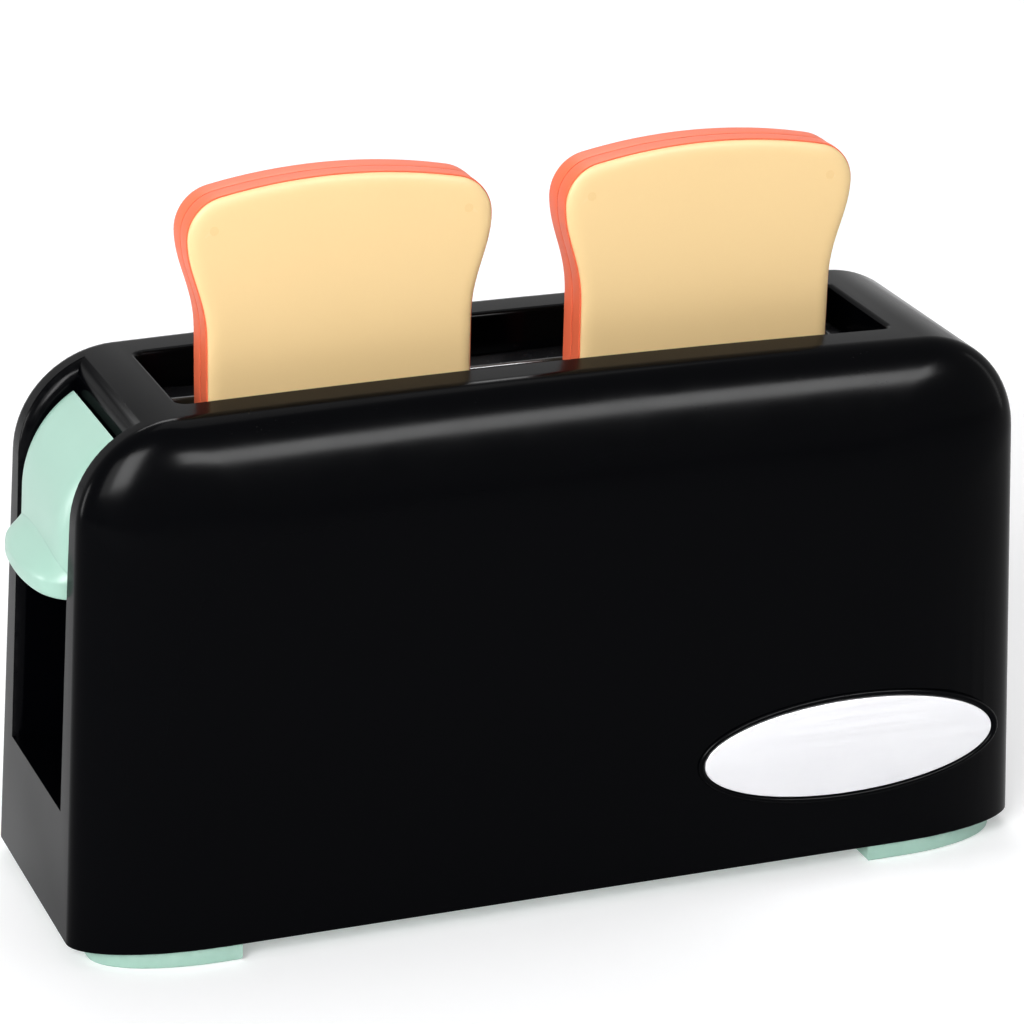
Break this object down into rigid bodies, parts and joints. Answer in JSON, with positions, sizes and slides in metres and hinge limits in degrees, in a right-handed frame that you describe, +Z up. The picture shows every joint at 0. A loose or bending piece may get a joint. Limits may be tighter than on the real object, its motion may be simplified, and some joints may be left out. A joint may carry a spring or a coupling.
{
  "type": "toy toaster",
  "caption": "Child's pretend toaster: glossy black housing, pastel thumb lever in an end channel, and loose plastic slices of bread standing in the top slot.",
  "frame": {"origin": "middle of the footprint, on the plane the feet stand on", "axes": "+X along the length away from the lever, +Y towards the rear, +Z up; the badge faces -Y"},
  "size_m": [0.2025, 0.0705, 0.1452],
  "materials": {
    "gloss_black": "high gloss",
    "satin_black": "satin",
    "mint": "satin",
    "cream": "fine satin",
    "coral": "semi gloss",
    "silver": "satin foil",
    "steel": "bright"
  },
  "bodies": {
    "housing": {"housing": "gloss_black", "badge_plate": "silver", "slot_liner": "satin_black", "liner_screw_front_left": "steel", "liner_screw_front_right": "steel", "liner_screw_rear_left": "steel", "liner_screw_rear_right": "steel", "base": "mint", "base_screw_front_left": "steel", "base_screw_front_middle": "steel", "base_screw_front_right": "steel", "base_screw_rear_left": "steel", "base_screw_rear_middle": "steel", "base_screw_rear_right": "steel", "guide_rod_left": "steel", "guide_rod_right": "steel", "return_spring_left": "steel", "return_spring_right": "steel"},
    "carriage": {"carriage": "satin_black", "lever": "mint", "lever_screw": "steel"},
    "slice_left": {"slice_left_crust_front": "coral", "slice_left_crust_rear": "coral", "slice_left_crumb_front": "cream", "slice_left_crumb_rear": "cream"},
    "slice_right": {"slice_right_crust_front": "coral", "slice_right_crust_rear": "coral", "slice_right_crumb_front": "cream", "slice_right_crumb_rear": "cream"}
  },
  "joints": [
    {"name": "carriage_slide", "type": "slide", "parent": "housing", "child": "carriage", "axis": [0, 0, -1], "range_m": [0, 0.042], "stiffness_N_per_m": 60, "springref_m": -0.03, "deforming": ["return_spring_left", "return_spring_right"]},
    {"name": "slice_left_lift", "type": "slide", "parent": "carriage", "child": "slice_left", "axis": [0, 0, 1], "range_m": [0, 0.07]},
    {"name": "slice_right_lift", "type": "slide", "parent": "carriage", "child": "slice_right", "axis": [0, 0, 1], "range_m": [0, 0.07]}
  ]
}
